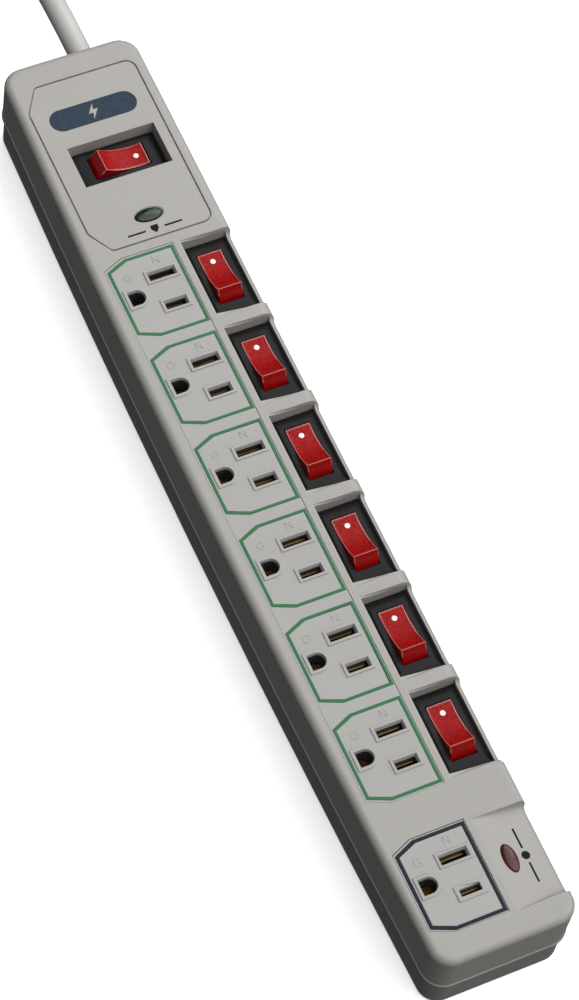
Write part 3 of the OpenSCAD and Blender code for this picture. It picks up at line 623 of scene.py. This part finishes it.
def trim_cutter():
    """The groove round the head, the lens seats and the cord's hole."""
    bm = bmesh.new()
    outer, inner = head_outline(0), head_outline(0.65)
    low, high = HEIGHT - 1.0, HEIGHT + 1
    rows = [[bm.verts.new(vec(x, y, z)) for x, y in line] for line, z in
            ((outer, low), (outer, high), (inner, high), (inner, low))]
    n = len(outer)
    for a, b in ((0, 1), (1, 2), (2, 3), (3, 0)):
        for i in range(n):
            bm.faces.new((rows[a][i], rows[a][(i + 1) % n], rows[b][(i + 1) % n], rows[b][i]))
    loft(bm, [[(x, y, HEIGHT - 12) for x, y in oval(GREEN_LENS, GREEN_SIZE, 0.1)],
              [(x, y, HEIGHT - 0.5) for x, y in oval(GREEN_LENS, GREEN_SIZE, 0.1)],
              [(x, y, HEIGHT + 0.1) for x, y in oval(GREEN_LENS, GREEN_SIZE, 0.6)]])
    top = deck_z(RED_LENS[1])
    loft(bm, [[(x, y, top - 12) for x, y in oval(RED_LENS, RED_SIZE, 0.1)],
              [(x, y, top + 3) for x, y in oval(RED_LENS, RED_SIZE, 0.1)]])
    loft(bm, [[(x, 13.1 + 4.5 * math.cos(a), SEAM + 4.5 * math.sin(a))
               for a in [2 * math.pi * i / 32 for i in range(32)]] for x in (-HALF_L - 2, -HALF_L + 5)])
    return bm


def make_cover():
    bm = bmesh.new()
    loft(bm, cover_rings())
    cover = new_object("cover", bm, "cover")
    for cutter in (bay_cutter, ridge_cutter, pocket_cutter, opening_cutter):
        cut(cover, cutter())
    clean(cover, 0.02)
    round_edges(cover, 0.32, 2, 40)
    for cutter in (case_cutter, through_cutter, cavity_cutter, trim_cutter):
        cut(cover, cutter())
    smooth(cover, 30)
    return settle(cover, "housing", "cover_plastic", "top_cover")


# ---------------------------------------------------------------- outlets


def mouth(bm, x, y, half_w, half_l, grow, top, depth):
    """A rectangular mouth that narrows as it goes down."""
    def ring(g, z):
        return [(x - half_w - g, y - half_l - g, z), (x + half_w + g, y - half_l - g, z),
                (x + half_w + g, y + half_l + g, z), (x - half_w - g, y + half_l + g, z)]
    loft(bm, [ring(-0.02, top - depth), ring(grow, top), ring(grow, top + 1)])


def ground_mouth(bm, x, grow, top, depth):
    def ring(g, z):
        r = 2.6 + g
        return ([(x - r, GROUND_Y - r, z), (x + r, GROUND_Y - r, z)]
                + [(px, py, z) for px, py in arc(x, GROUND_Y, r, 0, 180, 16)])
    loft(bm, [ring(-0.02, top - depth), ring(grow, top), ring(grow, top + 1)])


def mouths(xs):
    bm = bmesh.new()
    top = HEIGHT + 0.25
    for x in xs:
        mouth(bm, x - BLADE_HALF, BLADE_Y, 1.25, 4.6, 0.6, top, 1.4)
        mouth(bm, x + BLADE_HALF, BLADE_Y, 1.25, 3.7, 0.6, top, 1.4)
        ground_mouth(bm, x, 0.4, top, 1.2)
    return bm


# Below this height the outlet face's own faces, deep in its slots, are painted near-black as shade.
PAINTED_SHADE_BELOW = HEIGHT - 1.3


def stroke(bm, a, b, width, z0, z1):
    """A raised straight stroke from a to b."""
    across = Vector((a[1] - b[1], b[0] - a[0])).normalized() * width / 2
    prism(bm, [(a[0] + across[0], a[1] + across[1]), (a[0] - across[0], a[1] - across[1]),
               (b[0] - across[0], b[1] - across[1]), (b[0] + across[0], b[1] + across[1])], z0, z1)


def terminal_marks(xs):
    """Faint raised N and G beside the neutral slot and the ground hole."""
    bm = bmesh.new()
    z0, z1, line = HEIGHT - 0.5, HEIGHT - 0.08, 0.34
    for x in xs:
        cx, cy = x - 12.4, BLADE_Y + 0.2
        corners = [(cx + 1.3, cy - 1), (cx - 1.3, cy - 1), (cx + 1.3, cy + 1), (cx - 1.3, cy + 1)]
        cx, cy = x - 8.6, GROUND_Y
        bow = [(cx - 1.4 * math.sin(math.radians(a)), cy + 1.3 * math.cos(math.radians(a)))
               for a in range(40, 321, 40)]
        hook = bow + [(cx + 0.25, cy + 1.1), (cx + 0.25, cy + 0.3)]
        for path in (corners, hook):
            for a, b in zip(path, path[1:]):
                stroke(bm, a, b, line, z0, z1)
    return bm


def make_insert(node, xs, width, segments):
    obj = copy_node(node, "insert")
    round_edges(obj, width, segments, 40)
    cut(obj, mouths(xs))
    # The tray's near-black goes on the outlet face's faces deep in the slots as painted shade.
    obj.data.materials.append(MATS["tray_and_painted_shade"])
    for p in obj.data.polygons:
        p.material_index = 1 if p.center.z < PAINTED_SHADE_BELOW * MM else 0
    join(obj, terminal_marks(xs))
    smooth(obj, 30)
    return settle(obj, "housing", "insert_plastic", node)


# ---------------------------------------------------------------- rockers

RIDGE, FOOT, END_R, HEM, DIP = (8.8, 6.5), (9.75, 3.85), 10.48, -15, 1.9
ROCKER_HALF = 4.525


def rocker_top():
    dip_r = (RIDGE[0] ** 2 + DIP ** 2) / (2 * DIP)
    half = math.degrees(math.asin(RIDGE[0] / dip_r))
    return arc(0, RIDGE[1] - DIP + dip_r, dip_r, 270 - half, 270 + half, 16)


def rocker_mesh():
    """The level rocker's body about its pivot, its side outline extruded across its width; the sunken
    textured window between two clear rims is cut afterwards.
    """
    bm = bmesh.new()
    foot = math.degrees(math.atan2(FOOT[1], FOOT[0]))
    end = arc(0, 0, END_R, foot, HEM, 8) + [(4, -3.6)]
    outline = rocker_top() + end + [(-x, z) for x, z in end[::-1]]
    rows = [[bm.verts.new(vec(x, y, z)) for x, z in outline] for y in (-ROCKER_HALF, ROCKER_HALF)]
    n = len(outline)
    for i in range(n):
        bm.faces.new((rows[0][i], rows[0][(i + 1) % n], rows[1][(i + 1) % n], rows[1][i]))
    bm.faces.new(rows[0][::-1])
    bm.faces.new(rows[1])
    bmesh.ops.recalc_face_normals(bm, faces=bm.faces)
    return bm


WINDOW_HALF_X, WINDOW_HALF_Y, WINDOW_SINK = 8.0, 3.85, 0.18


def top_z(x):
    return RIDGE[1] - DIP * (1 - (x / RIDGE[0]) ** 2)


def window_cutter():
    xs = [-WINDOW_HALF_X + 2 * WINDOW_HALF_X * i / 16 for i in range(17)]
    under = [(x, top_z(x) - WINDOW_SINK) for x in xs]
    outline = under + [(WINDOW_HALF_X, 9), (-WINDOW_HALF_X, 9)]
    bm = bmesh.new()
    loft(bm, [[(x, y, z) for x, z in outline] for y in (-WINDOW_HALF_Y, WINDOW_HALF_Y)])
    return bm


def mark_window(obj):
    """Gives the sunken window the textured red, the upward bevelled end and side edges a paler pink that is
    a painted highlight, and everything else the clear rim's red.
    """
    for p in obj.data.polygons:
        c = p.center / MM
        inside = abs(c.x) < WINDOW_HALF_X and abs(c.y) < WINDOW_HALF_Y - 0.05
        n = p.normal
        # Bevelled faces at the rocker's ends and sides, which get the painted highlight.
        end_painted_highlight = abs(c.x) > WINDOW_HALF_X and n.x * c.x > -1.6 and n.z > 0.45
        side_painted_highlight = 0.2 < abs(n.y) < 0.97 and c.z > 3.5
        p.material_index = 2 if end_painted_highlight or side_painted_highlight else 1
        if inside and n.z > 0.7 and c.z > 3.5:
            p.material_index = 0


def make_rocker(name, turn):
    bm = rocker_mesh()
    bmesh.ops.bevel(bm, geom=[e for e in bm.edges if e.calc_face_angle(0) > math.radians(25)],
                    offset=0.28 * MM, segments=2, affect="EDGES", profile=0.6)
    # The third material is the painted highlight on the bevelled edges.
    obj = new_object("fine_" + name, bm, "red", "red_rim", "red_painted_highlight")
    cut(obj, window_cutter())
    mark_window(obj)
    bm = bmesh.new()
    for y in (-1, 1):
        loft(bm, [[(1.2 * math.cos(a), y * 4.3, 1.2 * math.sin(a)) for a in ring_angles(24)],
                  [(1.2 * math.cos(a), y * 5.6, 1.2 * math.sin(a)) for a in ring_angles(24)],
                  [(1.0 * math.cos(a), y * 5.7, 1.0 * math.sin(a)) for a in ring_angles(24)]])
    loft(bm, [[(2.2 * math.cos(a), 2.2 * math.sin(a), z) for a in ring_angles(24)] for z in (-6, -3)])
    loft(bm, [[(r * math.cos(a), r * math.sin(a), z) for a in ring_angles(24)]
              for r, z in ((0.3, -7.75), (0.7, -7.5), (0.95, -7.1), (1.0, -6.8), (1.0, -5.9))])
    join(obj, bm, 1)
    obj.data.transform(turn @ Matrix.Rotation(-TILT, 4, "Y"))
    smooth(obj, 35)
    settle(obj, name, "rocker_red", name)
    bm = bmesh.new()
    at = 5.45
    z = RIDGE[1] - DIP * (1 - (at / RIDGE[0]) ** 2) - 0.2
    slope = math.atan(-2 * DIP * at / RIDGE[0] ** 2)
    rings = ((0.98, -0.15), (0.98, 0.12), (0.86, 0.22), (0.42, 0.24), (0.30, 0.16), (0.05, 0.14))
    loft(bm, [[(r * math.cos(a), r * math.sin(a), h) for a in ring_angles(32)] for r, h in rings])
    dot = new_object(name + "_dot", bm, "dot")
    place = Matrix.Translation(vec(-at, 0, z)) @ Matrix.Rotation(-slope, 4, "Y")
    dot.data.transform(turn @ Matrix.Rotation(-TILT, 4, "Y") @ place)
    smooth(dot, 50)
    settle(dot, name, "rocker_red")


def ring_angles(n):
    return [2 * math.pi * i / n for i in range(n)]


def join(obj, bm, material_index=0):
    """Adds the shape in bm to a piece's mesh."""
    for f in bm.faces:
        f.material_index = material_index
    bmesh.ops.recalc_face_normals(bm, faces=bm.faces)
    extra = bpy.data.meshes.new("extra")
    bm.to_mesh(extra)
    bm.free()
    both = bmesh.new()
    both.from_mesh(obj.data)
    both.from_mesh(extra)
    both.to_mesh(obj.data)
    both.free()
    bpy.data.meshes.remove(extra)


def switch_turn(i):
    return Matrix.Translation(vec(OUTLETS[i] + SWITCH_SHIFT, SWITCH_Y, PIVOT_Z))


MASTER_TURN = Matrix.Translation(vec(*MASTER_AT, PIVOT_Z)) @ Matrix.Rotation(-math.pi / 2, 4, "Z")

# ---------------------------------------------------------------- lenses and marks


def make_lens(name, at, size, top, material, slot, node):
    """An oval lens whose top swells above the surface round it."""
    bm = bmesh.new()
    steps = [(-3.6, 0, 1), (0.0, 0, 1)] + [(0.95 * math.sin(a), 0, math.cos(a))
                                           for a in [math.radians(d) for d in (12, 25, 38, 51, 63, 74, 83)]]
    rings = []
    for h, _, f in steps:
        rings.append([(at[0] + size[0] / 2 * f * math.cos(a), at[1] + size[1] / 2 * f * math.sin(a), top + h)
                      for a in ring_angles(48)])
    loft(bm, rings)
    obj = new_object(name, bm, material)
    smooth(obj, 60)
    return settle(obj, "housing", slot, node)


def make_marks():
    """Generic printed marks: a bolt in a pill on the head, plain rules by the lamps."""
    bm = bmesh.new()
    z0, z1 = HEIGHT - 0.2, HEIGHT + 0.06
    cx, cy, half_l, r = -157.5, 1.0, 12.0, 4.6
    pill = arc(cx, cy + half_l, r, 0, 180, 16) + arc(cx, cy - half_l, r, 180, 360, 16)
    zigzag = [(0.8, 3.3), (-2.0, -0.6), (-0.2, -0.6), (-0.9, -3.3), (2.0, 0.8), (0.2, 0.8)]
    bolt = [(cx - up, cy + across) for across, up in zigzag]
    prism(bm, pill, z0, z1)
    settle(new_object("mark_pill", bm, "slate"), "housing", "blue_line")
    bm = bmesh.new()
    prism(bm, bolt, z0, z1 + 0.03)
    settle(new_object("mark_bolt", bm, "cover"), "housing", "cover_plastic")
    bm = bmesh.new()
    for y0, y1 in ((-8.4, -1.6), (5.6, 12.4)):
        box(bm, -104.4, -103.7, y0, y1, z0, z1)
    shield = [(-105.6, 0.6), (-105.6, 3.4), (-103.9, 3.4), (-102.3, 2), (-103.9, 0.6)]
    prism(bm, shield, z0, z1)
    settle(new_object("mark_protected", bm, "ink"), "housing", "switch_black")


def deck_mark():
    bm = bmesh.new()
    y = 19.7
    for x0, x1 in ((148.5, 155.8), (161.2, 168.5)):
        low = [(x0, y - 0.35), (x1, y - 0.35), (x1, y + 0.35), (x0, y + 0.35)]
        loft(bm, [[(px, py, deck_z(py) + dz) for px, py in low] for dz in (-0.2, 0.06)])
    ring = [(158.5 + 1.5 * math.cos(a), y + 1.5 * math.sin(a)) for a in ring_angles(24)]
    loft(bm, [[(px, py, deck_z(py) + dz) for px, py in ring] for dz in (-0.2, 0.06)])
    settle(new_object("mark_always_on", bm, "ink"), "housing", "switch_black")


LABEL_HALF = (60.0, 15.0)


def label_marks():
    """Plain rules and a border where a rating label would be printed."""
    bm = bmesh.new()
    low = min((v.co.z for v in NODES["rating_label"].data.vertices)) / MM
    x1, y1 = LABEL_HALF[0] - 2, LABEL_HALF[1] - 2
    z0, z1, line = low - 0.02, low + 0.05, 0.3
    for y in (-y1, y1 - line):
        box(bm, -x1, x1, y, y + line, z0, z1)
    for x in (-x1, x1 - line):
        box(bm, x, x + line, -y1 + line, y1 - line, z0, z1)
    for row, length in enumerate((34, 46, 40, 28, 44)):
        y = 8.5 - row * 4
        box(bm, 6, 6 + length, y, y + 0.8, z0, z1)
    ring = [(-34 + 7 * math.cos(a), 7 * math.sin(a)) for a in ring_angles(32)]
    prism(bm, ring, z0, z1)
    settle(new_object("label_rules", bm, "ink"), "housing", "label")


# ---------------------------------------------------------------- plug

PLUG_AT = (-318.0, 32.5, 29.85)
GRIP_FROM, GRIP_STEP, GRIPS, GRIP_W, GRIP_DEEP = 17.0, 3.4, 4, 1.5, 0.9
PLUG_HALF_W, PLUG_HALF_H = 13.0, 12.0


def grip_cutter():
    """Rounded finger grooves across both sides of the plug."""
    bm = bmesh.new()
    x0, y0, z0 = PLUG_AT
    for side in (-1, 1):
        for i in range(GRIPS):
            x = x0 - GRIP_FROM - i * GRIP_STEP
            y = y0 + side * PLUG_HALF_W
            curve = [(x + GRIP_W / 2 * math.cos(a), y + GRIP_DEEP * math.sin(a)) for a in ring_angles(16)]
            loft(bm, [[(px, py, z0 + h) for px, py in curve] for h in (-PLUG_HALF_H + 4, PLUG_HALF_H - 4)])
    return bm


def make_plug():
    body = copy_node("plug_body", "cord", "fine_plug_body")
    round_edges(body, 0.9, 3, 40)
    cut(body, grip_cutter())
    smooth(body, 40)
    settle(body, "housing", "cord_sheath", "plug_body")
    parts = [body]
    for node, width in (("plug_blades", 0.3), ("plug_ground_pin", 0.2)):
        parts.append(refine(node, "plate", "blade_plate", width))
    parts.append(refine("cord_ties", "tie", "tie_black", 0.3))
    return parts


# ---------------------------------------------------------------- stage


FLOOR = (-0.6, 0.4, -0.35, 0.35)
FLOOR_GLOW = 0.5
SKY_AIM = (0.22, 0.36, 0.91)
SKY_LOW, SKY_HIGH = (0.45, 0.075), (1.0, 2.3)
KEY_AT, KEY_POWER = (-0.75, 0.75, 0.85), 5.5


def area_light(name, at, aim, size, energy):
    data = bpy.data.lights.new(name, "AREA")
    data.shape = "RECTANGLE"
    data.size, data.size_y = size
    data.energy = energy
    lamp = bpy.data.objects.new(name, data)
    lamp.location = at
    lamp.rotation_euler = (Vector(aim) - Vector(at)).to_track_quat("-Z", "Y").to_euler()
    bpy.context.scene.collection.objects.link(lamp)


def make_stage():
    me = bpy.data.meshes.new("floor")
    x0, x1, y0, y1 = FLOOR
    me.from_pydata([(x0, y0, 0), (x1, y0, 0), (x1, y1, 0), (x0, y1, 0)], [], [(0, 1, 2, 3)])
    floor = bpy.data.objects.new("floor", me)
    bpy.context.scene.collection.objects.link(floor)
    m = Nodes("floor_paper")
    m.link(m.mix(m.spread(m.noise(8, 2), 0, 1), (0.93, 0.93, 0.93), (0.96, 0.96, 0.96)),
           m.shader.inputs["Base Color"])
    m.shader.inputs["Roughness"].default_value = 0.9
    m.shader.inputs["Emission Color"].default_value = (1, 1, 1, 1)
    m.shader.inputs["Emission Strength"].default_value = FLOOR_GLOW
    me.materials.append(m.material)
    floor.visible_diffuse = False
    floor.visible_glossy = False
    world = bpy.data.worlds.new("world")
    bpy.context.scene.world = world
    world.use_nodes = True
    tree = world.node_tree
    coords = tree.nodes.new("ShaderNodeTexCoord")
    aim = tree.nodes.new("ShaderNodeVectorMath")
    aim.operation = "DOT_PRODUCT"
    aim.inputs[1].default_value = SKY_AIM
    ramp = tree.nodes.new("ShaderNodeMapRange")
    ramp.interpolation_type = "SMOOTHSTEP"
    ramp.inputs["From Min"].default_value = SKY_LOW[0]
    ramp.inputs["From Max"].default_value = SKY_HIGH[0]
    ramp.inputs["To Min"].default_value = SKY_LOW[1]
    ramp.inputs["To Max"].default_value = SKY_HIGH[1]
    tree.links.new(coords.outputs["Generated"], aim.inputs[0])
    tree.links.new(aim.outputs["Value"], ramp.inputs["Value"])
    tree.links.new(ramp.outputs["Result"], tree.nodes["Background"].inputs["Strength"])
    tree.nodes["Background"].inputs["Color"].default_value = (1, 1, 1, 1)
    area_light("key", KEY_AT, (0, 0, 0), (1.0, 1.0), KEY_POWER)
    bpy.context.scene.view_settings.view_transform = "Standard"


# ---------------------------------------------------------------- everything

make_stage()
make_cover()
# The base shell takes the grey darkened as painted shade.
refine("base_shell", "base", "base_plastic", 0.5, 3)
make_insert("outlet_panel", OUTLETS, 0.22, 2)
make_insert("always_on_outlet", [LAST_X], 0.18, 1)
refine("switched_frames", "green", "green_line", 0.1, 1)
refine("always_on_frame", "blue", "blue_line", 0.1, 1)
make_lens("fine_protected_lens", GREEN_LENS, GREEN_SIZE, HEIGHT - 0.3, "green_lens", "green_lens",
          "protected_lens")
make_lens("fine_always_on_lens", RED_LENS, RED_SIZE, deck_z(RED_LENS[1]) + 0.1, "red_lens", "red_lens",
          "always_on_lens")
refine("master_switch", "black", "switch_black", 0.3)
make_rocker("master_rocker", MASTER_TURN)
for i in range(6):
    refine("switch_%d" % (i + 1), "black", "switch_black", 0.3)
    make_rocker("rocker_%d" % (i + 1), switch_turn(i))
make_marks()
deck_mark()
label_marks()

PLAIN = {
    "brass": ["neutral_bus", "ground_bus", "line_bus", "switched_contacts", "always_on_contact",
              "switch_terminals"],
    "copper": ["master_lever"] + ["lever_%d" % i for i in range(1, 7)],
    "steel": ["clamp_screws", "housing_screws", "thermal_fuse"],
    "tray_and_painted_shade": ["contact_tray", "cord_clamp"],
    "board": ["circuit_board"], "varistor": ["varistors"], "lamp": ["protected_led", "always_on_led"],
    "wire_black": ["line_wire"], "wire_white": ["neutral_wire"], "wire_green": ["ground_wire"],
    "label": ["rating_label"],
}
for material, nodes in PLAIN.items():
    for node in nodes:
        mats = NODES[node].data.materials
        if len(mats):
            for slot in NODES[node].material_slots:
                slot.material = MATS[material]
        else:
            mats.append(MATS[material])
cord.data.materials.append(MATS["cord"])
make_plug()

bpy.context.view_layer.update()
